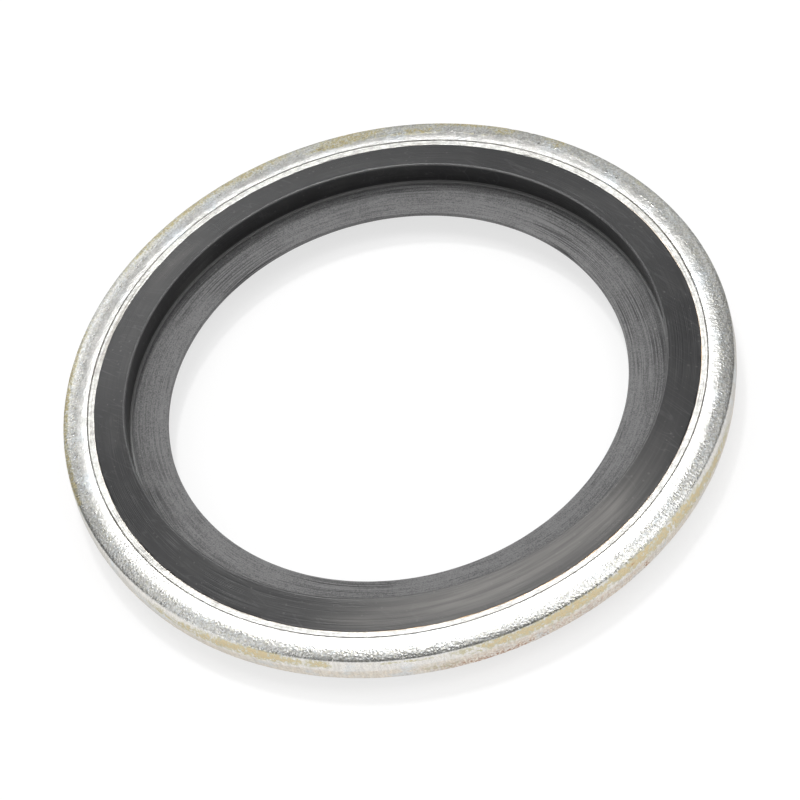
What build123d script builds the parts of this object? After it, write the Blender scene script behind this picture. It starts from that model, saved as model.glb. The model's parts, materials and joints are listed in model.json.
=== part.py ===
from build123d import *
import os

# Bonded sealing washer of the self-centring kind, for a G 3/4 pipe thread.
# A blanked and plated steel ring carries a rubber seal that is moulded and bonded into its bore.
# Under load the two faces of the ring take the clamping force, and the lips of the seal, which
# stand proud of both faces, are pressed down to the metal. The thin web centres the thread.
#
# Units are millimetres. The axis is +Z, and Z = 0 is the surface that the lower lip rests on.
# The face that blanking draws down at its edge is the upper one.

# Rubber seal, from the axis outwards
web_bore_diameter = 23.9
web_width = 2.09  # from the web's bore to the inner wall of the lips
web_thickness = 0.25
lip_width = 1.685  # from the inner wall of the lips to the wall that is bonded to the ring
lip_height = 0.5  # crest above the face of the ring
crest_width = 0.12  # narrow land on top of each lip

# Steel ring, from the bonded wall outwards
ring_width = 1.725
ring_thickness = 2.0
groove_offset = 0.355  # from the bonded wall to the groove that the mould's shut-off presses in
groove_width = 0.12
groove_depth = 0.05
rollover_width = 0.95  # how far the drawn-down edge reaches in over the upper face
rollover_depth = 0.33
burnish_height = 0.75  # smooth sheared band below the rollover, where the ring is largest
fracture_taper = 0.2  # how far the torn band below that falls back, on the radius
lower_edge_radius = 0.25

# Radii and levels worked out from the sizes above. Levels are measured from the middle plane,
# about which the seal is symmetrical.
web_bore_radius = web_bore_diameter / 2
lip_bore_radius = web_bore_radius + web_width
ring_bore_radius = lip_bore_radius + lip_width
groove_radius = ring_bore_radius + groove_offset
ring_radius = ring_bore_radius + ring_width
web_level = web_thickness / 2
face_level = ring_thickness / 2
crest_level = face_level + lip_height
section_plane = Plane(origin=(0, 0, crest_level), x_dir=(1, 0, 0), z_dir=(0, -1, 0))


def steel_ring():
    """The ring, with the edge that blanking gives it and a witness groove in each face."""
    rollover_start = (ring_radius - rollover_width, face_level)
    rollover_end = (ring_radius, face_level - rollover_depth)
    burnish_end = (ring_radius, face_level - rollover_depth - burnish_height)
    fracture_end = (ring_radius - fracture_taper, -face_level)
    bore_bottom = (ring_bore_radius, -face_level)
    bore_top = (ring_bore_radius, face_level)
    # A lozenge centred on the face cuts a vee into it.
    groove_lozenge = [
        (-groove_width / 2, 0),
        (0, -groove_depth),
        (groove_width / 2, 0),
        (0, groove_depth),
    ]
    with BuildPart() as ring:
        with BuildSketch(section_plane) as section:
            with BuildLine():
                upper_face = Line(bore_top, rollover_start)
                TangentArc(rollover_start, rollover_end, tangent=upper_face % 1)
                Polyline(rollover_end, burnish_end, fracture_end, bore_bottom, bore_top)
            make_face()
            lower_edge = section.vertices().sort_by_distance(fracture_end)[0]
            fillet(lower_edge, lower_edge_radius)
            with Locations((groove_radius, face_level), (groove_radius, -face_level)):
                Polygon(*groove_lozenge, mode=Mode.SUBTRACT)
        revolve(axis=Axis.Z)
    return ring.part


def rubber_seal():
    """The moulded seal: a lip on each side of the ring, and the thin web that centres the thread."""
    upper_half = [
        (web_bore_radius, 0),
        (web_bore_radius, web_level),
        (lip_bore_radius, web_level),
        (lip_bore_radius, crest_level),
        (lip_bore_radius + crest_width, crest_level),
        (ring_bore_radius, face_level),
        (ring_bore_radius, 0),
    ]
    with BuildPart() as seal:
        with BuildSketch(section_plane):
            with BuildLine():
                Polyline(*upper_half)
                mirror(about=Plane.XZ)
            make_face()
        revolve(axis=Axis.Z)
    return seal.part


os.makedirs("parts", exist_ok=True)
export_step(steel_ring(), "parts/steel_ring.step")
export_step(rubber_seal(), "parts/rubber_seal.step")
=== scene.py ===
"""Dress a bonded sealing washer: a zinc plated steel ring with a rubber seal bonded into its bore.

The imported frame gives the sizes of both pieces. Each piece is drawn again as a fine section, turned
round the axis, weathered in its mesh and given its finish, and then stands for its plain solid.
Lengths in the classes are millimetres; meshes are in metres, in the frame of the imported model.
"""

import json
import logging
import math
from dataclasses import dataclass
from enum import Enum
from functools import reduce

import bpy
import numpy as np
from bpy.types import Material, Node, NodeSocket as Socket, NodeTree, Object
from mathutils import Matrix, Vector, noise

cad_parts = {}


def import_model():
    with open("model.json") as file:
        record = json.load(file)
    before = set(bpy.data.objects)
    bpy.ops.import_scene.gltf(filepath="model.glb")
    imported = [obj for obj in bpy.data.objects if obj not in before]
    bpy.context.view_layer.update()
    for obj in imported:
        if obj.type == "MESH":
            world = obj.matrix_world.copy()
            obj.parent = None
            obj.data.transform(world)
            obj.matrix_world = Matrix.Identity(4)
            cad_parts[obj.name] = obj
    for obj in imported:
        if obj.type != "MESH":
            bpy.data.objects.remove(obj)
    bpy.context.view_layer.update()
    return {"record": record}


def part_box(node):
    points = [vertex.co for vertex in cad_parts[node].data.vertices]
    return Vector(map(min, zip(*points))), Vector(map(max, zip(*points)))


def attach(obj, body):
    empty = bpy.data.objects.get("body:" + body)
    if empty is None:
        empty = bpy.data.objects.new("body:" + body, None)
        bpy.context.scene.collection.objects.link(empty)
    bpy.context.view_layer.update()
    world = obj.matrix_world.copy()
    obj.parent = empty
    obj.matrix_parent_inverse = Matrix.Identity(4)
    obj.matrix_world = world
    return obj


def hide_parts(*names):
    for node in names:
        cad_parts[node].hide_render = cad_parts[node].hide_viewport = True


MM = 0.001
NOISE_REGION = np.array([17.3, 5.1, -9.7])

Colour = tuple[float, float, float]
Span = tuple[float, ...]
Given = Socket | float | Colour
Fed = tuple | dict

WHITE: Colour = (1.0, 1.0, 1.0)

log = logging.getLogger("washer")


class Side(Enum):
    """The two faces of the washer, as the sign of their height above the middle plane."""

    UPPER = 1
    LOWER = -1


def deselect_all() -> None:
    """Leave nothing selected, in object mode."""
    bpy.ops.object.select_all(action="DESELECT")


def eased(values: np.ndarray, start: float, end: float) -> np.ndarray:
    """Ease from 0 to 1 as values pass from start to end, which may lie below start."""
    share = np.clip((values - start) / (end - start), 0.0, 1.0)
    return share * share * (3.0 - 2.0 * share)


def wander(angle: np.ndarray, waves: int, seed: int) -> np.ndarray:
    """A smooth closed wobble round the ring.

    Args:
        angle: Angles round the axis, in radians.
        waves: The highest number of waves in one turn.
        seed: Chooses the phases.

    Returns:
        Values of about -1 to 1.
    """
    draw = np.random.default_rng(seed)
    fewest, kinds = 2, 9
    counts = np.unique(np.geomspace(fewest, waves, kinds).astype(int))
    sizes = draw.uniform(0.4, 1.0, counts.size)
    phases = draw.uniform(0.0, math.tau, counts.size)
    total = sum(s * np.sin(c * angle + p) for s, c, p in zip(sizes, counts, phases))
    return total / np.sqrt(np.sum(sizes**2))


def solid_noise(places: np.ndarray) -> np.ndarray:
    """Read solid noise, of about -1 to 1, at rows of x, y and z in units of its own grain."""
    return np.array([noise.noise(place) for place in (places + NOISE_REGION).tolist()])


@dataclass(frozen=True)
class Corner:
    """A corner of a section, how it is rounded, and how finely the stretch after it is divided."""

    radius: float
    height: float
    rounding: float = 0.0
    pitch: float = 0.1
    parts: int = 4

    @property
    def place(self) -> np.ndarray:
        """Radius and height as a vector."""
        return np.array([self.radius, self.height])

    def rounded(self, before: "Corner", after: "Corner") -> list[np.ndarray]:
        """The points that the corner leaves on the outline.

        Args:
            before: The corner before this one.
            after: The corner after this one.

        Returns:
            The corner itself, or the points of the arc that rounds it.
        """
        if not self.rounding:
            return [self.place]
        back = before.place - self.place
        ahead = after.place - self.place
        back /= np.linalg.norm(back)
        ahead /= np.linalg.norm(ahead)
        half = math.acos(np.clip(back @ ahead, -1.0, 1.0)) / 2
        middle = (back + ahead) / np.linalg.norm(back + ahead)
        centre = self.place + middle * self.rounding / math.sin(half)
        start = self.place + back * self.rounding / math.tan(half)
        turn = math.pi - 2 * half
        spoke = start - centre
        sense = math.copysign(1.0, back[0] * ahead[1] - back[1] * ahead[0])
        points = []
        for part in range(self.parts + 1):
            angle = turn * part / self.parts
            c, s = math.cos(angle), math.sin(angle) * -sense
            spin = np.array([c * spoke[0] - s * spoke[1], s * spoke[0] + c * spoke[1]])
            points.append(centre + spin)
        return points


@dataclass
class Section:
    """The closed section of a ring, drawn in the XZ plane and turned once round the axis."""

    name: str
    corners: list[Corner]
    steps: int

    STARTER = 0.1
    WELD = 0.0001

    def outline(self) -> list[np.ndarray]:
        """Divide the rounds and the stretches of the section.

        Returns:
            Its points, in order.
        """
        count = len(self.corners)
        rounds = [
            corner.rounded(self.corners[i - 1], self.corners[(i + 1) % count])
            for i, corner in enumerate(self.corners)
        ]
        points: list[np.ndarray] = []
        for i, corner in enumerate(self.corners):
            points += rounds[i]
            start, end = rounds[i][-1], rounds[(i + 1) % count][0]
            parts = max(1, math.ceil(np.linalg.norm(end - start) / corner.pitch))
            points += [start + (end - start) * part / parts for part in range(1, parts)]
        return points

    def build(self) -> Object:
        """Draw the section by extruding one vertex from point to point, close it and turn it.

        Returns:
            The ring, its faces outwards and its object at the origin.
        """
        points = self.outline()
        deselect_all()
        start = (points[0][0] * MM, 0.0, points[0][1] * MM)
        bpy.ops.mesh.primitive_plane_add(size=self.STARTER * MM, location=start)
        piece = bpy.context.object
        piece.name = piece.data.name = self.name
        bpy.ops.object.transform_apply(location=True, rotation=True, scale=True)
        bpy.ops.object.mode_set(mode="EDIT")
        bpy.ops.mesh.select_all(action="SELECT")
        bpy.ops.mesh.merge(type="CENTER")
        for here, there in zip(points, points[1:]):
            step = (there - here) * MM
            bpy.ops.mesh.extrude_region_move(TRANSFORM_OT_translate={"value": (step[0], 0.0, step[1])})
        self._close(piece)
        bpy.ops.object.mode_set(mode="OBJECT")
        screw = piece.modifiers.new("turn", "SCREW")
        screw.axis = "Z"
        screw.angle = math.tau
        screw.steps = screw.render_steps = self.steps
        screw.use_merge_vertices = True
        screw.merge_threshold = self.WELD * MM
        bpy.ops.object.modifier_apply(modifier=screw.name)
        bpy.ops.object.mode_set(mode="EDIT")
        bpy.ops.mesh.select_all(action="SELECT")
        bpy.ops.mesh.normals_make_consistent(inside=False)
        bpy.ops.object.mode_set(mode="OBJECT")
        return piece

    @staticmethod
    def _close(piece: Object) -> None:
        """Join the two loose ends of the drawn line.

        Args:
            piece: The line's object, in edit mode.
        """
        bpy.ops.mesh.select_all(action="DESELECT")
        bpy.ops.object.mode_set(mode="OBJECT")
        uses = np.bincount([v for edge in piece.data.edges for v in edge.vertices])
        piece.data.vertices.foreach_set("select", uses == 1)
        bpy.ops.object.mode_set(mode="EDIT")
        bpy.ops.mesh.edge_face_add()


@dataclass(frozen=True)
class Patch:
    """A soft patch on the upper and outer surface: a stain, a scuff or a dent.

    The run is the radius less the height, which grows across the upper face and down the rim.
    """

    azimuth: float
    run: float
    half_length: float
    half_width: float
    strength: float = 1.0

    def spread(self, ring: "TurnedMesh") -> np.ndarray:
        """The patch's strength at each vertex of a ring.

        Args:
            ring: The mesh to read.

        Returns:
            The strength, fading from the middle of the patch.
        """
        turn = (ring.angle - math.radians(self.azimuth) + math.pi) % math.tau - math.pi
        along = turn * ring.radius / self.half_length
        across = (ring.radius - ring.height - self.run) / self.half_width
        return self.strength * np.exp(-(along**2) - across**2)


class TurnedMesh:
    """The vertices of a turned piece, read and moved by angle, radius and height."""

    SHARES = 10

    def __init__(self, piece: Object) -> None:
        """Read the mesh of a ring about the Z axis, its object at the origin."""
        self.piece = piece
        self.read()

    def read(self) -> None:
        """Read where the vertices are."""
        places = np.empty(len(self.piece.data.vertices) * 3)
        self.piece.data.vertices.foreach_get("co", places)
        x, y, self.height = places.reshape(-1, 3).T / MM
        self.angle = np.arctan2(y, x)
        self.radius = np.hypot(x, y)

    def shift(self, outwards: np.ndarray | float, upwards: np.ndarray | float) -> None:
        """Move every vertex.

        Args:
            outwards: How far to move away from the axis.
            upwards: How far to move up.
        """
        radius = self.radius + outwards
        east, north = radius * np.cos(self.angle), radius * np.sin(self.angle)
        places = np.column_stack((east, north, self.height + upwards)) * MM
        self.piece.data.vertices.foreach_set("co", places.ravel())
        self.piece.data.update()
        self.read()

    def keep_within(self, radius: float, low: float, high: float) -> None:
        """Bring back whatever stands past the largest radius and the lowest and greatest height."""
        outwards = np.minimum(self.radius, radius) - self.radius
        self.shift(outwards, np.clip(self.height, low, high) - self.height)

    def zone(self, edge: float, start: float, end: float) -> np.ndarray:
        """Ease from 0 to 1 across the radius of an edge, from start to end as counted from it."""
        return eased(self.radius, edge + start, edge + end)

    def spread(self, patches: tuple[Patch, ...]) -> np.ndarray:
        """The strength that some patches have together at each vertex."""
        return sum(patch.spread(self) for patch in patches)

    def mark(self, name: str, values: np.ndarray) -> None:
        """Keep a value from 0 to 1 for each vertex, as an attribute that the finish reads."""
        attribute = self.piece.data.attributes.new(name, "FLOAT", "POINT")
        attribute.data.foreach_set("value", np.clip(values, 0.0, 1.0).astype(np.float32))

    def roughen(self, name: str, size: float, height: float, where: np.ndarray) -> None:
        """Raise and sink the surface by a fine cloudy relief.

        Args:
            name: What the relief is called.
            size: The size of its grain.
            height: Its whole height.
            where: How much of it each vertex gets, from 0 to 1.
        """
        group = self.piece.vertex_groups.new(name=name)
        for share in range(1, self.SHARES + 1):
            members = np.flatnonzero(np.round(where * self.SHARES) == share)
            group.add(members.tolist(), share / self.SHARES, "REPLACE")
        texture = bpy.data.textures.new(name, "CLOUDS")
        texture.noise_scale = size * MM
        texture.noise_depth = 1
        relief = self.piece.modifiers.new(name, "DISPLACE")
        relief.texture = texture
        relief.texture_coords = "LOCAL"
        relief.strength = height * MM
        relief.mid_level = 0.5
        relief.vertex_group = group.name
        bpy.context.view_layer.objects.active = self.piece
        bpy.ops.object.modifier_apply(modifier=relief.name)
        self.piece.vertex_groups.clear()
        self.read()


@dataclass
class SteelRing:
    """The blanked and plated ring, with the edge that the press left and the groove of the mould."""

    bore_radius: float
    outer_radius: float
    bottom: float
    top: float
    bore_edge: float = 0.03
    groove_offset: float = 0.385
    groove_width: float = 0.07
    groove_depth: float = 0.03
    rollover_width: float = 1.15
    rollover_depth: float = 0.33
    rollover_parts: int = 20
    burnish_height: float = 0.75
    fracture_taper: float = 0.2
    shoulder_rounding: float = 0.11
    shallow_side: float = 75.0
    shallow_lift: float = 0.11
    shallow_share: float = 0.2
    uneven_sink: float = 0.02
    lower_edge_radius: float = 0.25
    lower_edge_parts: int = 7
    rim_zone: Span = (-0.45, -0.28)
    steep_zone: Span = (-0.5, 0.0)
    relief_zone: Span = (-0.2, 0.3)
    border_blur: float = 0.06
    border_wander: Span = (0.07, 0.03)
    tear_turns: float = 110.0
    tear_height: float = 0.9
    tear_depth: float = 0.02
    tear_start: float = 0.25
    pitch: float = 0.065
    hidden_pitch: float = 0.5
    underside_pitch: float = 0.13
    undivided: float = 1.0
    sharp_edge: float = 40.0
    steps: int = 1100

    @property
    def roll_start(self) -> float:
        """The radius where the level face begins to roll over."""
        return self.outer_radius - self.rollover_width

    @property
    def burnish_end(self) -> float:
        """The height where the sheared band gives way to the torn one."""
        return self.top - self.rollover_depth - self.burnish_height

    def groove(self, side: Side) -> list[Corner]:
        """The corners of the vee groove in one face.

        Args:
            side: The face that it is pressed into.

        Returns:
            The corners, in the order in which the section is drawn.
        """
        upper = side is Side.UPPER
        face, fine = (self.top, self.pitch) if upper else (self.bottom, self.underside_pitch)
        middle = self.bore_radius + self.groove_offset
        half = self.groove_width / 2 * side.value
        deep = face - self.groove_depth * side.value
        places = ((middle - half, face), (middle, deep), (middle + half, face))
        return [Corner(*place, pitch=fine) for place in places]

    def rollover(self) -> list[Corner]:
        """Draw the edge that the punch drew down, an arc that leaves the level face smoothly.

        Returns:
            Its corners, up to the shoulder.
        """
        bend = (self.rollover_width**2 + self.rollover_depth**2) / (2 * self.rollover_depth)
        reach = math.asin(self.rollover_width / bend)
        turns = [reach * part / self.rollover_parts for part in range(self.rollover_parts)]
        arc = [(self.roll_start + bend * math.sin(t), bend * (1 - math.cos(t))) for t in turns]
        return [Corner(radius, self.top - sunk, pitch=self.undivided) for radius, sunk in arc]

    def corners(self) -> list[Corner]:
        """Draw the whole section, from the bore over the upper face, down the rim and back below.

        Returns:
            Its corners.
        """
        shoulder = self.top - self.rollover_depth
        lowest = self.outer_radius - self.fracture_taper
        rounded = (self.lower_edge_radius, self.underside_pitch, self.lower_edge_parts)
        return [
            Corner(self.bore_radius, self.top, self.bore_edge, self.pitch),
            *self.groove(Side.UPPER),
            *self.rollover(),
            Corner(self.outer_radius, shoulder, self.shoulder_rounding, self.pitch),
            Corner(self.outer_radius, self.burnish_end, 0.0, self.pitch),
            Corner(lowest, self.bottom, *rounded),
            *self.groove(Side.LOWER),
            Corner(self.bore_radius, self.bottom, self.bore_edge, self.hidden_pitch),
        ]

    def build(self) -> Object:
        """Model the ring.

        Returns:
            The finished mesh, with its weathering and the marks that its finish reads.
        """
        piece = Section("plated_ring", self.corners(), self.steps).build()
        ring = TurnedMesh(piece)
        self._tear(ring)
        self._dent(ring)
        outside = ring.zone(self.roll_start, *self.relief_zone)
        ring.roughen("pebbles", size=0.35, height=0.004, where=outside)
        ring.roughen("swells", size=1.4, height=0.012, where=outside)
        ring.keep_within(self.outer_radius, self.bottom, self.top)
        self._mark(ring)
        bpy.ops.object.shade_smooth_by_angle(angle=math.radians(self.sharp_edge))
        return piece

    def _rim(self, ring: TurnedMesh) -> np.ndarray:
        """How far each vertex belongs to the outer wall, from 0 to 1."""
        return ring.zone(self.outer_radius, *self.rim_zone)

    def _border(self, ring: TurnedMesh) -> np.ndarray:
        """Find the uneven height at which the sheared band ends.

        Args:
            ring: The ring.

        Returns:
            The height at each vertex's angle.
        """
        broad, fine = self.border_wander
        swing = self.burnish_end + broad * wander(ring.angle, waves=14, seed=3)
        return swing + fine * wander(ring.angle, waves=90, seed=4)

    def _tear(self, ring: TurnedMesh) -> None:
        """Give the torn band an uneven start and upright tears, and the rollover a shallow side.

        Args:
            ring: The plain ring.
        """
        border = self._border(ring)
        level = np.clip((border - ring.height) / (border - self.bottom), 0.0, 1.0)
        drawn = (self.burnish_end - ring.height) / (self.burnish_end - self.bottom)
        taper = self.fracture_taper * (level - np.clip(drawn, 0.0, 1.0))
        east, north = np.cos(ring.angle), np.sin(ring.angle)
        places = (east * self.tear_turns, north * self.tear_turns, ring.height / self.tear_height)
        tears = self.tear_depth * np.abs(solid_noise(np.column_stack(places)))
        inwards = taper + tears * eased(level, 0.0, self.tear_start)
        over = eased(ring.radius, self.roll_start, self.outer_radius)
        over *= eased(ring.height, self.burnish_end, self.top - self.rollover_depth)
        sink = self.uneven_sink * (1.0 + wander(ring.angle, waves=7, seed=5)) / 2
        facing = np.cos(ring.angle - math.radians(self.shallow_side))
        share = self.shallow_share + (1 - self.shallow_share) * facing
        lift = self.shallow_lift * np.clip(share, 0.0, 1.0)
        ring.shift(-inwards * self._rim(ring), (lift * over - sink) * over)

    def _dent(self, ring: TurnedMesh) -> None:
        """Press small dents and pits into the rim and the rollover.

        Args:
            ring: The torn ring.
        """
        depth = ring.spread(DENTS)
        steep = ring.zone(self.outer_radius, *self.steep_zone)
        ring.shift(-depth * steep, -depth * (1.0 - steep))

    def _mark(self, ring: TurnedMesh) -> None:
        """Keep what the finish reads: the torn band, the stains, the rust, the painted shade on the far
        half and the lacquer.

        Args:
            ring: The weathered ring.
        """
        border = self._border(ring)
        torn = eased(ring.height, border + self.border_blur, border - self.border_blur)
        ring.mark("torn", torn * self._rim(ring))
        ring.mark("stain", ring.spread(STAINS) / DEEPEST_STAIN)
        for name, patches in (("rust", RUST), ("tarnish", PAINTED_FAR_SHADE), ("lacquer", LACQUER)):
            ring.mark(name, ring.spread(patches))


DEEPEST_STAIN = 1.5

STAINS = (
    Patch(212.5, 15.65, 0.9, 0.36, 0.7),
    Patch(220, 15.75, 1.8, 0.34, 0.85),
    Patch(229, 15.62, 2.4, 0.40, 1.2),
    Patch(236.5, 15.5, 2.0, 0.36, 1.1),
    Patch(245, 15.55, 0.9, 0.38, 0.7),
    Patch(258, 15.42, 2.4, 0.12, 0.8),
    Patch(265, 16.3, 1.6, 0.35, 0.75),
    Patch(274, 15.55, 2.2, 0.40, 1.1),
    Patch(285, 15.55, 2.4, 0.42, 1.2),
    Patch(292, 15.5, 1.6, 0.36, 1.2),
    Patch(301, 15.5, 1.4, 0.38, 1.5),
    Patch(310, 15.55, 2.4, 0.42, 1.5),
    Patch(321, 15.85, 2.6, 0.42, 1.1),
    Patch(330, 16.0, 1.8, 0.4, 0.6),
    Patch(352, 15.8, 0.7, 0.4, 0.6),
    Patch(29, 14.9, 1.2, 0.2, 0.5),
    Patch(48.5, 14.9, 0.6, 0.6, 1.2),
    Patch(58.5, 14.8, 0.6, 0.5, 1.2),
    Patch(66, 15.05, 1.6, 0.25, 1.8),
    Patch(73.5, 14.35, 1.0, 0.28, 1.3),
    Patch(63.0, 14.2, 1.0, 0.15, 0.7),
    Patch(79.0, 14.2, 1.0, 0.15, 0.6),
    Patch(83.5, 14.8, 1.0, 0.5, 1.1),
    Patch(87.5, 14.6, 0.9, 0.5, 1.8),
    Patch(91.5, 14.3, 0.9, 0.25, 1.1),
    Patch(104, 14.8, 1.6, 0.4, 1.1),
    Patch(117, 14.9, 2.6, 0.35, 1.1),
    Patch(128, 14.9, 1.4, 0.35, 0.8),
    Patch(158, 15.1, 2.6, 0.22, 1.4),
    Patch(171, 15.25, 3.0, 0.3, 1.8),
    Patch(181, 15.1, 1.8, 0.25, 1.5),
    Patch(65, 15.0, 12.0, 0.5, 0.3),
    Patch(125, 15.0, 14.0, 0.5, 0.4),
)

RUST = (
    Patch(270, 16.5, 1.4, 0.22, 0.8),
    Patch(278, 16.55, 1.4, 0.18, 0.9),
    Patch(287, 16.35, 6.0, 0.35, 0.5),
    Patch(304, 16.5, 0.2, 0.3, 1.0),
    Patch(300.8, 15.52, 0.16, 0.07, 1.0),
    Patch(322, 16.74, 1.0, 0.07, 0.6),
)

# Painted shade: the far half of the rollover and rim, darkened as it looks in its dimmer reflection.
PAINTED_FAR_SHADE = (
    Patch(35, 15.5, 15.0, 0.68, 1.0),
    Patch(112, 15.5, 15.0, 0.68, 1.0),
)

LACQUER = (
    Patch(282, 13.28, 9.0, 0.1, 1.0),
    Patch(355, 13.28, 3.5, 0.1, 0.8),
    Patch(205, 13.28, 9.0, 0.1, 0.15),
    Patch(20, 13.28, 3.0, 0.1, 0.2),
)

DENTS = (
    Patch(126.5, 15.1, 0.12, 0.1, 0.03),
    Patch(161.7, 15.0, 0.12, 0.2, 0.03),
    Patch(53.8, 15.1, 0.1, 0.12, 0.025),
    Patch(57.4, 15.1, 0.14, 0.1, 0.025),
    Patch(220.3, 15.7, 0.06, 0.07, 0.03),
    Patch(229.0, 16.0, 0.06, 0.05, 0.03),
    Patch(240.0, 16.3, 0.07, 0.06, 0.025),
    Patch(301.0, 15.5, 0.09, 0.06, 0.035),
    Patch(289.5, 14.0, 0.06, 0.05, 0.02),
    Patch(218, 15.3, 9.0, 0.14, 0.07),
    Patch(312, 15.3, 8.0, 0.14, 0.085),
)


@dataclass
class RubberSeal:
    """The moulded seal: a lip on each face of the ring and the thin web that centres the thread."""

    web_bore_radius: float
    bond_radius: float
    bottom: float
    top: float
    face_gap: float
    web_width: float = 2.09
    web_thickness: float = 0.25
    crest_width: float = 0.12
    crest_rounding: float = 0.05
    ledge_width: float = 0.12
    ledge_height: float = 0.08
    ledge_rounding: float = 0.03
    bore_rounding: float = 0.04
    round_parts: int = 3
    flash_reach: float = 0.03
    flash_thickness: float = 0.02
    bore_shift: float = 0.084
    bore_ovality: float = 0.02
    stiff_width: float = 0.4
    web_zone: Span = (-0.1, -0.3)
    lip_swells: float = 0.4
    crest_zone: Span = (0.4, 0.1)
    crest_levels: Span = (0.8, 1.4)
    crest_wander: float = 0.012
    flash_wander: Span = (0.018, 0.014)
    web_pitch: float = 0.075
    lip_pitch: float = 0.12
    hidden_pitch: float = 0.5
    sharp_edge: float = 45.0
    steps: int = 660

    @property
    def middle(self) -> float:
        """The height of the plane about which the seal is symmetrical."""
        return (self.top + self.bottom) / 2

    @property
    def lip_radius(self) -> float:
        """The radius of the inner wall of the lips."""
        return self.web_bore_radius + self.web_width

    def half(self, side: Side) -> list[Corner]:
        """The corners of one face of the seal, from the web's bore out to the bonded wall.

        Args:
            side: The face.

        Returns:
            The corners in order, which the section takes backwards on the lower face.
        """
        web = self.web_thickness / 2
        crest = (self.top - self.bottom) / 2
        metal = crest - self.face_gap
        flash = self.bond_radius + self.flash_reach
        foot = self.lip_radius - self.ledge_width
        ledge = web + self.ledge_height
        outer = self.lip_radius + self.crest_width
        shape = (
            (self.web_bore_radius, web, self.bore_rounding, self.web_pitch),
            (foot, web, 0.0, self.web_pitch),
            (foot, ledge, self.ledge_rounding, self.web_pitch),
            (self.lip_radius, ledge, 0.0, self.lip_pitch),
            (self.lip_radius, crest, self.crest_rounding, self.lip_pitch),
            (outer, crest, self.crest_rounding, self.lip_pitch),
            (flash, metal + self.flash_thickness, 0.0, self.lip_pitch),
            (flash + self.flash_thickness / 2, metal, 0.0, self.lip_pitch),
            (self.bond_radius, metal, 0.0, self.hidden_pitch),
        )
        return [
            Corner(radius, self.middle + side.value * above, rounding, pitch, self.round_parts)
            for radius, above, rounding, pitch in shape
        ]

    def build(self) -> Object:
        """Model the seal.

        Returns:
            The finished mesh, with the unevenness of a moulding and the marks that its finish reads.
        """
        corners = self.half(Side.UPPER) + self.half(Side.LOWER)[::-1]
        piece = Section("moulded_seal", corners, self.steps).build()
        seal = TurnedMesh(piece)
        self._settle(seal)
        web = seal.zone(self.lip_radius, *self.web_zone)
        where = self.lip_swells + (1 - self.lip_swells) * web
        seal.roughen("moulded_swells", size=0.9, height=0.01, where=where)
        seal.keep_within(self.bond_radius + 2 * self.flash_reach, self.bottom, self.top)
        self._mark(seal)
        bpy.ops.object.shade_smooth_by_angle(angle=math.radians(self.sharp_edge))
        return piece

    def _settle(self, seal: TurnedMesh) -> None:
        """Set the bore off centre, and let the crests and the flash wander.

        Args:
            seal: The plain seal.
        """
        bore = eased(seal.radius, self.lip_radius - self.stiff_width, self.web_bore_radius)
        outwards = bore * self.bore_shift * np.cos(seal.angle - math.pi)
        outwards += bore * self.bore_ovality * np.cos(2 * seal.angle)
        crest = eased(np.abs(seal.height - self.middle), *self.crest_levels)
        crest *= seal.zone(self.lip_radius, *self.crest_zone)
        outwards += crest * self.crest_wander * wander(seal.angle, waves=11, seed=6)
        flash = seal.zone(self.bond_radius, 0.0, self.flash_reach)
        broad, fine = self.flash_wander
        rag = broad * wander(seal.angle, waves=9, seed=7) + fine * wander(seal.angle, waves=120, seed=8)
        outwards += flash * rag
        seal.shift(outwards, 0.0)

    def _mark(self, seal: TurnedMesh) -> None:
        """Keep what the finish reads: the scuffed places, which also carry painted sheen, and the places
        with traces of turning.
        """
        seal.mark("scuff", seal.spread(SCUFFS_AND_SHEEN))
        seal.mark("traces", seal.spread(TRACES))


# Lighter patches on the flank: scuffing, and painted sheen where the near and upper left flank catch the
# lamps.
SCUFFS_AND_SHEEN = (
    Patch(291, 11.9, 6.5, 1.3, 0.9),
    Patch(268, 12.0, 4.5, 1.3, 0.6),
    Patch(305, 11.9, 1.6, 0.8, 0.4),
    Patch(252, 12.6, 2.0, 0.5, 0.4),
    Patch(130, 12.3, 2.0, 0.6, 0.25),
)

TRACES = (
    Patch(212, 11.8, 7.5, 0.9, 1.0),
    Patch(285, 12.2, 6.0, 0.8, 0.7),
    Patch(170, 11.6, 4.0, 0.6, 0.5),
    Patch(20, 11.8, 6.0, 0.8, 0.25),
    Patch(90, 11.8, 9.0, 0.8, 0.2),
)


@dataclass(frozen=True)
class Cloud:
    """A pattern of blotches: their size, where their soft edges begin and end, and their seed."""

    size: float
    low: float
    high: float
    seed: float = 0.0


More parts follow.
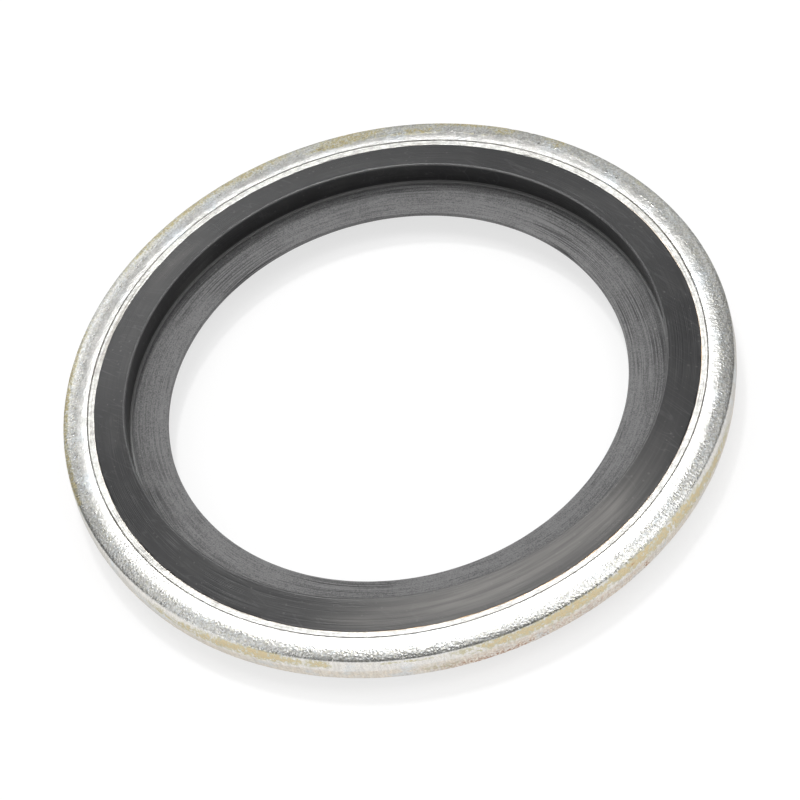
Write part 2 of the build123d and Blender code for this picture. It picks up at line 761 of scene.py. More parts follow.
class Wiring:
    """Adds nodes to one tree and joins them. What a node is given is a socket, a number or a colour."""

    def __init__(self, tree: NodeTree) -> None:
        """Work on the node tree of a material, a world or a group."""
        self.tree = tree

    def feed(self, target: Socket, source: Given) -> None:
        """Join a socket to another, or set its value.

        Args:
            target: The input socket.
            source: An output socket, a number or a colour.
        """
        if isinstance(source, Socket):
            self.tree.links.new(source, target)
        elif target.type == "RGBA":
            target.default_value = (*source, 1.0)
        else:
            target.default_value = source

    def join(self, node: Node, fed: Fed) -> Node:
        """Feed a node's inputs in their order, or by name or number, and give the node."""
        for key, source in fed.items() if isinstance(fed, dict) else enumerate(fed):
            self.feed(node.inputs[key], source)
        return node

    def node(self, kind: str, fed: Fed = (), **settings: object) -> Node:
        """Add a node.

        Args:
            kind: The node's type, without its ShaderNode prefix.
            fed: What its inputs get, in their order, or by name or number.
            settings: Properties of the node.

        Returns:
            The node.
        """
        made = self.tree.nodes.new("ShaderNode" + kind)
        for name, value in settings.items():
            setattr(made, name, value)
        return self.join(made, fed)

    def math(self, operation: str, *values: Given) -> Socket:
        """Combine numbers by an operation of the Math node."""
        return self.node("Math", values, operation=operation).outputs[0]

    def times(self, *factors: Given) -> Socket:
        """Multiply numbers, from the first to the last."""
        return reduce(lambda product, factor: self.math("MULTIPLY", product, factor), factors)

    def scaled(self, value: Given, factor: Given, extra: Given) -> Socket:
        """A number times a factor, plus an extra."""
        return self.math("MULTIPLY_ADD", value, factor, extra)

    def layered(self, base: Given, *layers: tuple[Given, Given]) -> Socket:
        """A number with layers added to it, each a value and its factor."""
        return reduce(lambda total, layer: self.scaled(*layer, total), layers, base)

    def ease(self, value: Given, start: Given, end: Given, *ends: float) -> Socket:
        """Ease from 0 to 1, or from one given end to the other, as a value passes from start to end."""
        fed = (value, start, end, *ends)
        return self.node("MapRange", fed, interpolation_type="SMOOTHSTEP").outputs[0]

    def zone(self, value: Socket, edge: float, start: float, end: float) -> Socket:
        """Ease from 0 to 1 across an edge, from start to end as counted from it."""
        return self.ease(value, edge + start, edge + end)

    def blend(self, share: Given, low: Given, high: Given) -> Socket:
        """Mix two colours: the first where the share is 0, and the second where it is 1."""
        return self.node("Mix", {0: share, 6: low, 7: high}, data_type="RGBA").outputs[2]

    def tint(self, colour: Given, tint: Given, *shares: Given) -> Socket:
        """Lay a tint over a colour, as much as all its shares multiplied."""
        return self.blend(self.times(*shares), colour, tint)

    def vector(self, *parts: Given) -> Socket:
        """Make a vector of three numbers."""
        return self.node("CombineXYZ", parts).outputs[0]

    def between(self, operation: str, first: Socket, second: Socket) -> Socket:
        """Combine two vectors by an operation of the Vector Math node."""
        return self.node("VectorMath", (first, second), operation=operation).outputs[0]

    def noise(self, place: Socket, seed: Given, detail: float = 0.0, roughness: float = 0.5) -> Socket:
        """Cloudy noise about one half, whose grain is one unit, with finer layers of a roughness."""
        fed = {"Vector": place, "W": seed, "Scale": 1.0, "Detail": detail, "Roughness": roughness}
        return self.node("TexNoise", fed, noise_dimensions="4D").outputs[0]

    def bump(self, relief: Socket) -> Socket:
        """The normal of a fine relief, whose height is in thousandths of a millimetre."""
        return self.node("Bump", {"Distance": MM / 1000.0, "Height": relief}).outputs[0]

    def marked(self, name: str) -> Socket:
        """Read a value that the mesh keeps for each vertex."""
        return self.node("Attribute", attribute_name=name).outputs["Fac"]

    def effect(self, effect: "Effect", **fed: Given) -> Socket:
        """Place a shared effect, with values for its inputs by name."""
        return self.node("Group", fed, node_tree=effect.tree()).outputs["Value"]

    def cloud(self, cloud: Cloud) -> Socket:
        """Place blotches of a kind."""
        fed = {"Size": cloud.size, "Low": cloud.low, "High": cloud.high, "Seed": cloud.seed}
        return self.effect(Effect.BLOTCHES, **fed)

    def ring_place(self) -> bpy.types.NodeOutputs:
        """The place on a ring, as Radius, Height, East and North."""
        return self.node("Group", node_tree=Effect.RING_PLACE.tree()).outputs


class Effect(Enum):
    """The effects that the finishes share: each group's name, and the usual values of its inputs."""

    RING_PLACE = ("ring_place", {})
    STREAKS = ("ring_streaks", {"Length": 3.0, "Pitch": 0.1, "Seed": 0.0})
    LINES = ("ring_lines", {"Length": 8.0, "Pitch": 0.2, "Width": 0.05, "Fade": 3.0, "Seed": 0.0})
    STROKES = (
        "straight_strokes",
        {"Length": 3.0, "Pitch": 0.3, "Width": 0.03, "Fade": 1.6, "Turn": 0.0, "Seed": 0.0},
    )
    BLOTCHES = ("blotches", {"Size": 1.0, "Low": 0.45, "High": 0.6, "Seed": 0.0})
    GRAIN = ("fine_grain", {"Size": 0.1, "Seed": 0.0})
    SPECKS = ("specks", {"Size": 0.4, "Share": 0.2, "Reach": 0.15, "Seed": 0.0})

    def tree(self) -> NodeTree:
        """The effect's node group, built when it is first placed."""
        return bpy.data.node_groups.get(self.value[0]) or EffectGroup(self).tree


class EffectGroup(Wiring):
    """Wires the node group of one effect, by the method that has the effect's name."""

    NOMINAL_RADIUS = 16.0

    def __init__(self, effect: Effect) -> None:
        """Build the group.

        Args:
            effect: The effect that it gives.
        """
        name, inputs = effect.value
        super().__init__(bpy.data.node_groups.new(name, "ShaderNodeTree"))
        for label, value in inputs.items():
            self._socket(label, "INPUT").default_value = value
        self.given = self.tree.nodes.new("NodeGroupInput").outputs
        results = getattr(self, "_" + effect.name.lower())()
        for label in results:
            self._socket(label, "OUTPUT")
        self.join(self.tree.nodes.new("NodeGroupOutput"), results)

    def _socket(self, label: str, way: str) -> bpy.types.NodeTreeInterfaceSocket:
        """Add an input or an output."""
        return self.tree.interface.new_socket(label, in_out=way, socket_type="NodeSocketFloat")

    def _place(self) -> Socket:
        """The place on the object, in millimetres."""
        fed = {0: self.node("TexCoord").outputs["Object"], "Scale": 1.0 / MM}
        return self.node("VectorMath", fed, operation="SCALE").outputs[0]

    def _sized_place(self) -> Socket:
        """The place on the object, in units of the group's Size."""
        return self.between("DIVIDE", self._place(), self.vector(*[self.given["Size"]] * 3))

    def _drawn_out(self) -> Socket:
        """Draw the place on a ring out along it by the group's Length and across it by its Pitch.

        Returns:
            The place, whose run goes over the face and down the rim.
        """
        place = self.ring_place()
        turn = self.math("DIVIDE", self.NOMINAL_RADIUS, self.given["Length"])
        run = self.math("SUBTRACT", place["Radius"], place["Height"])
        across = self.math("DIVIDE", run, self.given["Pitch"])
        return self.vector(self.times(place["East"], turn), self.times(place["North"], turn), across)

    def _thinned(self, cloud: Socket) -> dict[str, Socket]:
        """Find the thin lines along which a cloud passes one half.

        Args:
            cloud: The cloud.

        Returns:
            The lines, as wide as the group's Width and coming and going by its Fade.
        """
        off = self.math("ABSOLUTE", self.math("SUBTRACT", cloud, 0.5))
        near = self.ease(off, self.given["Width"], 0.0)
        fade = {"Size": self.given["Fade"], "Low": 0.4, "High": 0.6, "Seed": self.given["Seed"]}
        return {"Value": self.times(near, self.effect(Effect.BLOTCHES, **fade))}

    def _ring_place(self) -> dict[str, Socket]:
        """Find the place on a ring: its radius and height, and the two parts of its direction.

        Returns:
            The outputs.
        """
        x, y, z = self.node("SeparateXYZ", (self._place(),)).outputs
        radius = self.math("SQRT", self.math("ADD", self.times(x, x), self.times(y, y)))
        east, north = (self.math("DIVIDE", part, radius) for part in (x, y))
        return {"Radius": radius, "Height": z, "East": east, "North": north}

    def _streaks(self) -> dict[str, Socket]:
        """Fine streaks. Length runs round the ring, and Pitch lies across it."""
        cloud = self.noise(self._drawn_out(), self.given["Seed"], detail=3.0, roughness=0.6)
        return {"Value": cloud}

    def _lines(self) -> dict[str, Socket]:
        """Thin lines round the ring that come and go. Width is their share of the Pitch."""
        return self._thinned(self.noise(self._drawn_out(), self.given["Seed"]))

    def _strokes(self) -> dict[str, Socket]:
        """Make thin straight scratches that run one way, at an angle of Turn radians.

        Returns:
            The outputs.
        """
        fed = {"Vector": self._place(), "Angle": self.given["Turn"]}
        turned = self.node("VectorRotate", fed, rotation_type="Z_AXIS").outputs[0]
        grain = self.vector(self.given["Length"], self.given["Pitch"], 1.0)
        return self._thinned(self.noise(self.between("DIVIDE", turned, grain), self.given["Seed"]))

    def _blotches(self) -> dict[str, Socket]:
        """Cloudy blotches: 0 where the cloud is below Low and 1 where it is above High."""
        cloud = self.noise(self._sized_place(), self.given["Seed"], detail=4.0, roughness=0.55)
        return {"Value": self.ease(cloud, self.given["Low"], self.given["High"])}

    def _grain(self) -> dict[str, Socket]:
        """A pebbled grain, as a height of about one half."""
        cloud = self.noise(self._sized_place(), self.given["Seed"], detail=2.0, roughness=0.45)
        return {"Value": cloud}

    def _specks(self) -> dict[str, Socket]:
        """Scatter specks. Size is the room that each has, and Share is how many rooms hold one.

        Returns:
            The outputs.
        """
        moved = self.between("ADD", self._sized_place(), self.vector(*[self.given["Seed"]] * 3))
        fed = {"Vector": moved, "Scale": 1.0}
        cells = self.node("TexVoronoi", fed, voronoi_dimensions="3D").outputs
        chance, size, _ = self.node("SeparateColor", (cells["Color"],)).outputs
        chosen = self.math("LESS_THAN", chance, self.given["Share"])
        reach = self.times(self.given["Reach"], self.math("ADD", size, 0.5))
        near = self.ease(cells["Distance"], reach, self.times(reach, 0.5))
        return {"Value": self.times(near, chosen)}


def start_material(name: str) -> tuple[Material, Wiring, Node]:
    """Start a material.

    Args:
        name: The material's name.

    Returns:
        The material, the wiring of its tree, and its Principled BSDF.
    """
    material = bpy.data.materials.new(name)
    material.use_nodes = True
    shader = next(n for n in material.node_tree.nodes if n.type == "BSDF_PRINCIPLED")
    return material, Wiring(material.node_tree), shader


@dataclass(frozen=True)
class ZincPlate:
    """Zinc plating over blanked steel: pebbled and bright, straw stained, rusting where it is torn."""

    bright: Colour = (0.58, 0.575, 0.555)
    dull: Colour = (0.44, 0.44, 0.43)
    film: Colour = (0.345, 0.345, 0.335)
    film_light: Colour = (0.53, 0.53, 0.505)
    # lighter: the wear at the outer edge, and the light flecks painted as glints of the pebbles
    worn: Colour = (0.78, 0.775, 0.75)
    rim: Colour = (0.86, 0.83, 0.79)
    straw: Colour = (0.57, 0.545, 0.38)
    deep_straw: Colour = (0.40, 0.325, 0.14)
    gold: Colour = (0.68, 0.55, 0.33)
    sky: Colour = (0.72, 0.80, 0.87)
    # painted shade: darkens the far half of the rollover and rim, and the dark flecks
    tarnish: Colour = (0.25, 0.245, 0.225)
    torn: Colour = (0.96, 0.885, 0.78)
    speck: Colour = (0.56, 0.43, 0.37)
    lacquer: Colour = (0.60, 0.34, 0.13)
    grime: Colour = (0.13, 0.11, 0.09)
    rust: Colour = (0.42, 0.20, 0.11)
    edge_tint: Colour = (0.7, 0.7, 0.68)
    mottle: Cloud = Cloud(0.6, 0.4, 0.65)
    bluish: Cloud = Cloud(2.4, 0.48, 0.66, 13)
    filmed: Cloud = Cloud(0.35, 0.35, 0.65, 24)
    rusting: Cloud = Cloud(0.13, 0.46, 0.58, 7)
    matting: Cloud = Cloud(0.4, 0.3, 0.7, 9)
    clouding: Cloud = Cloud(0.16, 0.3, 0.65, 22)
    stain_cloud: Cloud = Cloud(0.5, 0.3, 0.7, 3)
    stain_flecks: Cloud = Cloud(0.17, 0.42, 0.58, 4)
    stain_patches: Cloud = Cloud(1.3, 0.5, 0.68, 5)
    dirt: Cloud = Cloud(1.1, 0.3, 0.6, 15)
    bore_radius: float = 15.725
    groove_radius: float = 16.11
    roll_radius: float = 16.5
    rim_radius: float = 17.15
    shoulder_height: float = 2.17
    groove_blur: float = 0.02
    groove_reach: Span = (0.055, 0.03)
    lacquer_zone: Span = (0.09, 0.05)
    roll_blur: float = 0.3
    rim_blur: float = 0.05
    shoulder_zone: Span = (0.03, -0.05)
    worn_zone: Span = (-0.25, 0.1)
    bluish_share: float = 0.4
    worn_share: float = 0.7
    rust_share: float = 0.8
    pit_share: float = 0.8
    ripple_share: float = 0.5
    rim_streaks: Span = (0.4, 0.75, 0.0, 0.4)
    torn_streaks: Span = (0.35, 0.7, 0.0, 0.4)
    straw_rise: Span = (0.35, 1.15, 0.0, 0.9)
    deep_rise: Span = (0.9, 1.6, 0.0, 0.85)
    clear_fall: Span = (0.5, 0.2)
    tear_turns: float = 150.0
    tear_height: float = 1.2
    grain_size: float = 0.115
    face_grain: float = 13.0
    roll_grain: float = 27.0
    rim_grain: float = -0.8
    ripple_height: float = -4.0
    tear_relief: float = 3.5
    pit_height: float = -10.0
    fleck_edge: float = 0.1
    rim_flecks: float = -0.75
    roll_sparkle_flecks: Span = (0.45, 0.55)
    clouded_share: Span = (0.35, 0.65)
    broken_share: Span = (1.7, 0.25)
    patch_share: float = 0.6
    dirt_share: Span = (0.3, 0.12)
    roughness: float = 0.31
    metal: float = 0.96
    stain_body: float = -0.6

    def material(self) -> Material:
        """Build the finish.

        Returns:
            The material.
        """
        material, w, shader = start_material("zinc_plate_finish")
        place = w.ring_place()
        radius, height = place["Radius"], place["Height"]
        torn, tarnish = w.marked("torn"), w.marked("tarnish")
        inner = w.zone(radius, self.groove_radius, self.groove_blur, -self.groove_blur)
        roll = w.zone(radius, self.roll_radius, 0.0, self.roll_blur)
        below = w.zone(height, self.shoulder_height, *self.shoulder_zone)
        rim = w.times(w.zone(radius, self.rim_radius, -self.rim_blur, self.rim_blur), below)
        round_it = [w.times(place[way], self.tear_turns) for way in ("East", "North")]
        upright = w.vector(*round_it, w.times(height, self.tear_height))
        tears = w.noise(upright, seed=2.0, detail=3.0, roughness=0.6)
        ripples = w.times(w.effect(Effect.LINES, Length=9.0, Pitch=0.13, Width=0.06), inner)
        pits = w.times(w.effect(Effect.SPECKS, Size=0.5, Share=0.12, Reach=0.09, Seed=1.0), rim)
        rust = w.times(w.cloud(self.rusting), w.marked("rust"), self.rust_share)

        colour = self._plate(w, radius, inner)
        sheared = w.blend(w.ease(tears, *self.rim_streaks), self.rim, self.dull)
        ragged = w.blend(w.ease(tears, *self.torn_streaks), self.torn, self.dull)
        colour = w.blend(torn, w.blend(rim, colour, sheared), ragged)
        colour, matt = self._stain(w, colour, rim)
        colour = self._fleck(w, colour, roll, rim, torn)
        colour = w.blend(rust, colour, self.rust)
        colour = self._line(w, colour, radius)
        grime = w.math("MAXIMUM", w.times(ripples, self.ripple_share), w.times(pits, self.pit_share))
        mattness = ((torn, 0.14), (inner, 0.08), (rust, 0.3), (roll, -0.06), (tarnish, 0.25))

        pebbles = w.scaled(roll, self.roll_grain - self.face_grain, self.face_grain)
        pebbles = w.times(pebbles, w.scaled(rim, self.rim_grain, 1.0))
        relief = w.layered(
            w.times(w.effect(Effect.GRAIN, Size=self.grain_size), pebbles),
            (ripples, self.ripple_height),
            (w.times(tears, rim), self.tear_relief),
            (pits, self.pit_height),
        )
        looks = {
            "Base Color": w.blend(grime, colour, self.grime),
            "Metallic": w.scaled(matt, self.stain_body, self.metal),
            "Roughness": w.layered(self.roughness, (w.cloud(self.matting), 0.06), *mattness),
            "Specular Tint": self.edge_tint,
            "Normal": w.bump(relief),
        }
        w.join(shader, looks)
        return material

    def _plate(self, w: Wiring, radius: Socket, inner: Socket) -> Socket:
        """The clean plating: cloudy, faintly blue in places, filmed inside the groove, worn at the edge.

        Args:
            w: The material's wiring.
            radius: The radius of the place.
            inner: How far the place lies inside the groove.

        Returns:
            The colour.
        """
        colour = w.blend(w.cloud(self.mottle), self.bright, self.dull)
        colour = w.tint(colour, self.sky, w.cloud(self.bluish), self.bluish_share)
        colour = w.blend(inner, colour, w.blend(w.cloud(self.filmed), self.film, self.film_light))
        edge = w.zone(radius, self.rim_radius, *self.worn_zone)
        return w.tint(colour, self.worn, edge, self.worn_share)

    def _fleck(self, w: Wiring, colour: Socket, roll: Socket, rim: Socket, torn: Socket) -> Socket:
        """Fleck a colour: the pebbled plating's grain, its darker and lighter flecks painted as the
        shade and glints of the pebbles, and bluish or straw grains on the edge.

        Args:
            w: The material's wiring.
            colour: The colour of the stained plating.
            roll: How far the place lies on the drawn-down edge.
            rim: How far the place lies on the rim.
            torn: How far the place lies in the torn band.

        Returns:
            The flecked colour.
        """
        upper = w.scaled(rim, self.rim_flecks, 1.0)
        curved = w.times(roll, upper)
        pebbled = w.times(w.scaled(roll, *self.roll_sparkle_flecks), upper)
        # The first two rows are painted shade and painted glints of the pebbled plating, laid on its
        # grain.
        flecks = (
            (14, 0.11, 0.45, pebbled, 0.50, self.tarnish),
            (27, 0.11, 0.53, pebbled, 0.45, self.worn),
            (28, 0.12, 0.50, torn, 0.28, self.speck),
            (29, 0.30, 0.50, torn, 0.50, self.rim),
            (25, 0.13, 0.52, curved, 0.30, self.sky),
            (26, 0.13, 0.52, curved, 0.30, self.straw),
        )
        for seed, size, low, where, most, tint in flecks:
            grains = w.cloud(Cloud(size, low, low + self.fleck_edge, seed))
            colour = w.tint(colour, tint, grains, where, most)
        return colour

    def _stain(self, w: Wiring, colour: Socket, rim: Socket) -> tuple[Socket, Socket]:
        """Lay the painted shade of the far half and the straw coloured stains over a colour.

        Args:
            w: The material's wiring.
            colour: The colour of the plating.
            rim: How far the place lies on the rim.

        Returns:
            The stained colour, and how far a matt stain hides the metal above the rim.
        """
        clouded = w.scaled(w.cloud(self.clouding), *self.clouded_share)
        # painted shade over the far half of the rollover and rim, broken up by clouds
        colour = w.tint(colour, self.tarnish, w.marked("tarnish"), clouded)
        broken = w.scaled(w.cloud(self.stain_flecks), 0.5, w.times(w.cloud(self.stain_cloud), 0.5))
        reach = w.times(w.marked("stain"), DEEPEST_STAIN, w.scaled(broken, *self.broken_share))
        colour = w.tint(colour, self.straw, w.ease(reach, *self.straw_rise))
        deep = w.ease(reach, *self.deep_rise)
        colour = w.blend(deep, colour, w.blend(rim, self.deep_straw, self.gold))
        clear = w.times(w.ease(reach, *self.clear_fall), rim)
        patches = w.times(w.cloud(self.stain_patches), self.patch_share)
        colour = w.tint(colour, self.sky, clear, patches)
        return colour, w.times(deep, w.math("SUBTRACT", 1.0, rim))

    def _line(self, w: Wiring, colour: Socket, radius: Socket) -> Socket:
        """Add the line of bonding lacquer beside the rubber, and the dirt in the groove.

        Args:
            w: The material's wiring.
            colour: The colour of the plating.
            radius: The radius of the place.

        Returns:
            The colour with both lines.
        """
        beside = w.zone(radius, self.bore_radius, *self.lacquer_zone)
        colour = w.tint(colour, self.lacquer, beside, w.marked("lacquer"))
        off = w.math("ABSOLUTE", w.math("SUBTRACT", radius, self.groove_radius))
        dirt = w.scaled(w.cloud(self.dirt), *self.dirt_share)
        return w.tint(colour, self.grime, w.ease(off, *self.groove_reach), dirt)


@dataclass(frozen=True)
class MouldedRubber:
    """Black nitrile rubber: smooth on the lips, and marked by a turned mould on the web."""

    lip: Colour = (0.021, 0.021, 0.022)
    haze: Colour = (0.036, 0.036, 0.036)
    # lighter grey painted along the inner crest edge: a painted highlight of the crest rounding
    worn: Colour = (0.080, 0.080, 0.080)
    # painted highlight: a lighter grey on the ledge at the foot of the lip wall
    foot: Colour = (0.13, 0.13, 0.13)
    web: Colour = (0.066, 0.066, 0.067)
    web_light: Colour = (0.178, 0.177, 0.178)
    trace: Colour = (0.085, 0.085, 0.086)
    # scuffing and painted sheen on the flank
    scuff: Colour = (0.20, 0.192, 0.182)
    dust: Colour = (0.30, 0.29, 0.28)
    hazing: Cloud = Cloud(2.2, 0.4, 0.65, 19)
    gloss: Cloud = Cloud(0.9, 0.3, 0.7, 12)
    lip_radius: float = 14.04
    middle: float = 1.5
    web_edge: Span = (-0.13, -0.15)
    dusty_foot: Span = (-0.9, -0.3)
    web_wear: Span = (-0.4, -1.6)
    web_wear_share: float = 0.04
    # painted shade: the web darkened towards the lip wall, where the lip casts its shadow
    foot_shade: Span = (-0.34, -0.16)
    shade_share: float = 0.4
    dust_share: Span = (0.3, 0.13)
    web_pattern: Span = (0.12, 0.4, 0.48)
    web_contrast: Span = (0.40, 0.62)
    cut_share: float = 0.9
    ridge_share: float = 0.6
    scratch_share: float = 0.35
    flow_contrast: Span = (0.35, 0.65)
    smear: Span = (0.3, 0.7, 0.5, 1.0)
    crest_grain: float = 0.05
    crest_highlight_edge: Span = (0.05, 0.02)
    crest_level: Span = (1.4, 1.45)
    ledge_highlight_level: Span = (0.26, 0.24)
    lip_roughness: float = 0.31
    web_roughness: float = 0.55
    grain_height: float = 2.0
    streak_height: float = 6.0
    flow_height: float = 0.9
    cut_height: float = -4.0

    def material(self) -> Material:
        """Build the finish.

        Returns:
            The material.
        """
        material, w, shader = start_material("black_rubber_finish")
        place = w.ring_place()
        radius = place["Radius"]
        web = w.zone(radius, self.lip_radius, *self.web_edge)
        fine = w.effect(Effect.STREAKS, Length=2.5, Pitch=0.05, Seed=1.0)
        grain = w.effect(Effect.GRAIN, Size=0.055, Seed=3.0)
        flow = w.effect(Effect.STREAKS, Length=6.0, Pitch=0.25, Seed=6.0)
        cut = w.effect(Effect.LINES, Length=18.0, Pitch=0.13, Width=0.08, Fade=4.0, Seed=16.0)
        dust = w.effect(Effect.SPECKS, Size=0.38, Share=0.8, Reach=0.16, Seed=2.0)
        foot = w.times(w.zone(radius, self.lip_radius, *self.dusty_foot), web)

        lip = self._lip(w, grain, flow, radius, place["Height"])
        colour = w.blend(web, lip, self._web(w, radius, fine, grain, cut))
        rough = w.ease(web, 0.0, 1.0, self.lip_roughness, self.web_roughness)
        streaks = w.times(w.math("ADD", fine, grain), web)
        mattness = ((w.marked("scuff"), 0.1), (w.cloud(self.gloss), 0.05), (flow, 0.06))
        reliefs = ((streaks, self.streak_height), (flow, self.flow_height), (cut, self.cut_height))
        looks = {
            "Base Color": w.tint(colour, self.dust, dust, w.scaled(foot, *self.dust_share)),
            "Roughness": w.layered(rough, *mattness),
            "Normal": w.bump(w.layered(w.times(grain, self.grain_height), *reliefs)),
        }
        w.join(shader, looks)
        return material

    def _web(self, w: Wiring, radius: Socket, fine: Socket, grain: Socket, cut: Socket) -> Socket:
        """The web: greyer than the lips, finely streaked and grained, with the lines of a turned mould
        and painted shade next to the lip wall.

        Args:
            w: The material's wiring.
            radius: The radius of the place.
            fine: Fine streaks.
            grain: Fine grain.
            cut: Thin dark lines.

        Returns:
            The colour.
        """
        broad = w.effect(Effect.STREAKS, Length=7.0, Pitch=0.2, Seed=2.0)
        ridge = w.effect(Effect.LINES, Length=9.0, Pitch=0.2, Width=0.04, Fade=2.5, Seed=17.0)
        worn = w.times(w.zone(radius, self.lip_radius, *self.web_wear), self.web_wear_share)
        shares = zip((broad, fine, grain), self.web_pattern)
        streaks = w.layered(worn, *shares)
        colour = w.blend(w.ease(streaks, *self.web_contrast), self.web, self.web_light)
        colour = w.tint(colour, self.lip, cut, self.cut_share)
        colour = w.tint(colour, self.web_light, ridge, self.ridge_share)
        # painted shade of the lip's shadow on the web next to its wall
        shade = w.zone(radius, self.lip_radius, *self.foot_shade)
        return w.tint(colour, self.lip, shade, self.shade_share)

    def _lip(self, w: Wiring, grain: Socket, flow: Socket, radius: Socket, height: Socket) -> Socket:
        """The lips: black, faintly hazed and scratched, with concentric traces, scuffs that also paint
        the flank's sheen, a painted highlight along the inner crest edge and a painted highlight on the
        ledge at the foot.

        Args:
            w: The material's wiring.
            grain: Fine grain.
            flow: Long soft streaks.
            radius: The radius of the place.
            height: The height of the place.

        Returns:
            The colour.
        """
        haze = w.times(w.cloud(self.hazing), w.ease(flow, *self.flow_contrast))
        colour = w.blend(haze, self.lip, self.haze)
        scratches = w.effect(Effect.STROKES, Length=2.6, Pitch=0.28, Width=0.03, Turn=0.9, Seed=20.0)
        colour = w.tint(colour, self.trace, scratches, self.scratch_share)
        traces = w.effect(Effect.LINES, Length=10.0, Pitch=0.17, Width=0.05, Fade=2.0, Seed=18.0)
        colour = w.tint(colour, self.trace, traces, w.marked("traces"))
        smear = w.ease(flow, *self.smear)
        # lighter scuffed patches, which also paint the flank's sheen
        colour = w.tint(colour, self.scuff, w.marked("scuff"), smear)
        level = w.math("ABSOLUTE", w.math("SUBTRACT", height, self.middle))
        # painted highlight: a lighter, grain-broken line along the inner edge of the crest
        edge = w.math("SUBTRACT", radius, self.crest_grain / 2)
        edge = w.scaled(grain, self.crest_grain, edge)
        edge = w.zone(edge, self.lip_radius, *self.crest_highlight_edge)
        colour = w.tint(colour, self.worn, edge, w.ease(level, *self.crest_level))
        # painted highlight on the ledge at the foot of the lip wall and on the bottom of the wall
        return w.tint(colour, self.foot, w.ease(level, *self.ledge_highlight_level))


@dataclass(frozen=True)
class Softbox:
    """A soft rectangular lamp that looks at the middle of the washer."""

    name: str
    azimuth: float
    elevation: float
    power: float
    width: float = 0.25
    height: float = 0.25
    distance: float = 0.7

    def hang(self) -> None:
        """Put the lamp up, at its distance from the middle of the frame."""
        lamp = bpy.data.lights.new(self.name, "AREA")
        lamp.shape = "RECTANGLE"
        lamp.size = self.width
        lamp.size_y = self.height
        lamp.energy = self.power
        azimuth, elevation = math.radians(self.azimuth), math.radians(self.elevation)
        level = math.cos(elevation)
        away = Vector((level * math.cos(azimuth), level * math.sin(azimuth), math.sin(elevation)))
        stand = bpy.data.objects.new(self.name, lamp)
        bpy.context.scene.collection.objects.link(stand)
        stand.location = away * self.distance
        stand.rotation_mode = "QUATERNION"
        stand.rotation_quaternion = away.to_track_quat("Z", "Y")


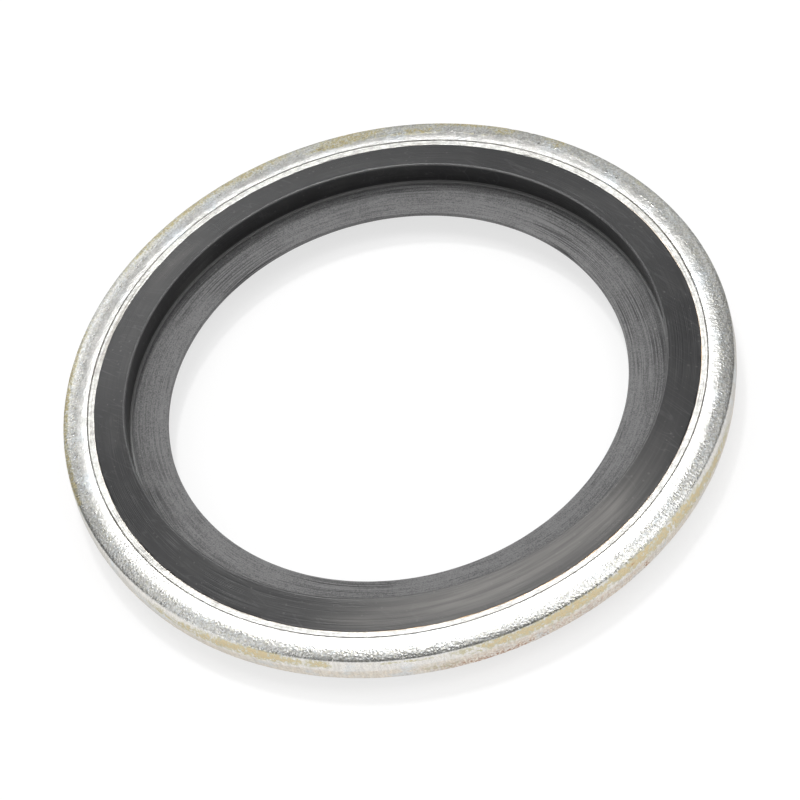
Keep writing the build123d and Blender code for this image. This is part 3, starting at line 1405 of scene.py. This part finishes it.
@dataclass(frozen=True)
class Studio:
    """The pale table, the soft lamps and the camera."""

    table_size: float = 4.0
    table_colour: Colour = (0.30, 0.30, 0.30)
    table_glow: float = 0.69
    room_strength: float = 0.03
    horizon_strength: float = 0.06
    horizon_reach: float = 0.35
    front_strength: float = 0.08
    sweep_strength: float = 0.85
    sweep_reach: Span = (0.5, 0.05)
    front_reach: float = 0.4
    lamps: tuple[Softbox, ...] = (
        Softbox("key", 90, 64, 1.65, 0.08, 0.08),
        Softbox("top", 90, 83, 0.9),
        Softbox("top_right", 350, 62, 0.70),
        Softbox("top_left", 125, 60, 0.43),
        Softbox("back_right_high", 60, 60, 0.26),
        Softbox("back_high", 75, 44, 0.07),
        Softbox("back_right", 60, 22, 0.34),
        Softbox("back", 90, 20, 0.24),
        Softbox("back_middle", 110, 21, 0.45),
        Softbox("back_left", 125, 25, 0.27),
        Softbox("left_back", 154, 45, 0.16),
        Softbox("right_high", 25, 47, 0.14),
        Softbox("left_high", 182, 55, 0.27),
        Softbox("left", 198, 24, 0.60, 0.25, 0.40),
        Softbox("right", 334, 29, 0.62, 0.25, 0.40),
        Softbox("front", 270, 79, 0.10, 0.25, 0.20),
    )
    camera_place: tuple[float, float, float] = (-0.046, -260.78, 317.84)
    camera_elevation: float = 50.535
    camera_roll: float = -15.528
    lens: float = 360.0
    sensor: float = 36.0
    clip: Span = (0.01, 20.0)

    def set_up(self) -> None:
        """Lay the lit table, hang the lamps and stand the camera."""
        self._lay_table()
        for lamp in self.lamps:
            lamp.hang()
        self._light_room()
        bpy.context.scene.view_settings.view_transform = "Standard"
        self._stand_camera()

    def _light_room(self) -> None:
        """Give the room a faint even light that grows towards the horizon, and most of all in front."""
        world = bpy.data.worlds.new("room")
        bpy.context.scene.world = world
        world.use_nodes = True
        backdrop = next(n for n in world.node_tree.nodes if n.type == "BACKGROUND")
        w = Wiring(world.node_tree)
        way = w.node("TexCoord").outputs["Generated"]
        _, depth, level = w.node("SeparateXYZ", (way,)).outputs
        glow = w.ease(level, self.horizon_reach, 0.0, self.room_strength, self.horizon_strength)
        sweep = w.ease(level, *self.sweep_reach, self.front_strength, self.sweep_strength)
        front = w.ease(depth, self.front_reach, 0.0)
        w.join(backdrop, {"Color": WHITE, "Strength": w.scaled(sweep, front, glow)})

    def _lay_table(self) -> None:
        """Add the floor that the washer lies on: a white sheet lit a little from below."""
        deselect_all()
        bpy.ops.mesh.primitive_plane_add(size=self.table_size)
        table = bpy.context.object
        table.name = "table"
        material, w, shader = start_material("table_paper")
        looks = {
            "Base Color": self.table_colour,
            "Emission Color": WHITE,
            "Emission Strength": self.table_glow,
            "Roughness": 0.9,
            "Specular IOR Level": 0.0,
        }
        w.join(shader, looks)
        table.data.materials.append(material)

    def _stand_camera(self) -> None:
        """Stand the camera at its place and turn it about its own line of sight."""
        camera = bpy.data.objects.new("camera", bpy.data.cameras.new("camera"))
        bpy.context.scene.collection.objects.link(camera)
        camera.data.lens = self.lens
        camera.data.sensor_width = self.sensor
        camera.data.clip_start, camera.data.clip_end = self.clip
        tilt = math.radians(90.0 - self.camera_elevation)
        aim = Matrix.Rotation(tilt, 4, "X") @ Matrix.Rotation(math.radians(self.camera_roll), 4, "Z")
        camera.matrix_world = Matrix.Translation(Vector(self.camera_place) * MM) @ aim
        bpy.context.scene.camera = camera


def finish_piece(piece: Object, node: str, material: Material) -> None:
    """Give a piece its finish and let it stand for its node.

    Args:
        piece: The new piece.
        node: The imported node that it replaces.
        material: The finish.
    """
    piece.data.materials.clear()
    piece.data.materials.append(material)
    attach(piece, "root")
    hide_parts(node)
    faces = sum(len(face.vertices) - 2 for face in piece.data.polygons)
    log.info("%s stands for %s with %d triangles", piece.name, node, faces)


def main() -> None:
    """Load the frame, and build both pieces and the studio."""
    logging.basicConfig(level=logging.INFO, format="%(name)s: %(message)s")
    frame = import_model()
    bore = next(m for m in frame["record"]["mounts"] if m["kind"] == "bore")
    ring_low, ring_high = (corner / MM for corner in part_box("steel_ring"))
    seal_low, seal_high = (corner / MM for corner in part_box("rubber_seal"))

    ring = SteelRing(seal_high.x, ring_high.x, ring_low.z, ring_high.z)
    finish_piece(ring.build(), "steel_ring", ZincPlate().material())

    bore_radius = bore["dims"]["r_mm"]
    lip_height = seal_high.z - ring_high.z
    seal = RubberSeal(bore_radius, seal_high.x, seal_low.z, seal_high.z, lip_height)
    finish_piece(seal.build(), "rubber_seal", MouldedRubber().material())

    Studio().set_up()
    log.info("the studio is set up")


if __name__ == "__main__":
    main()
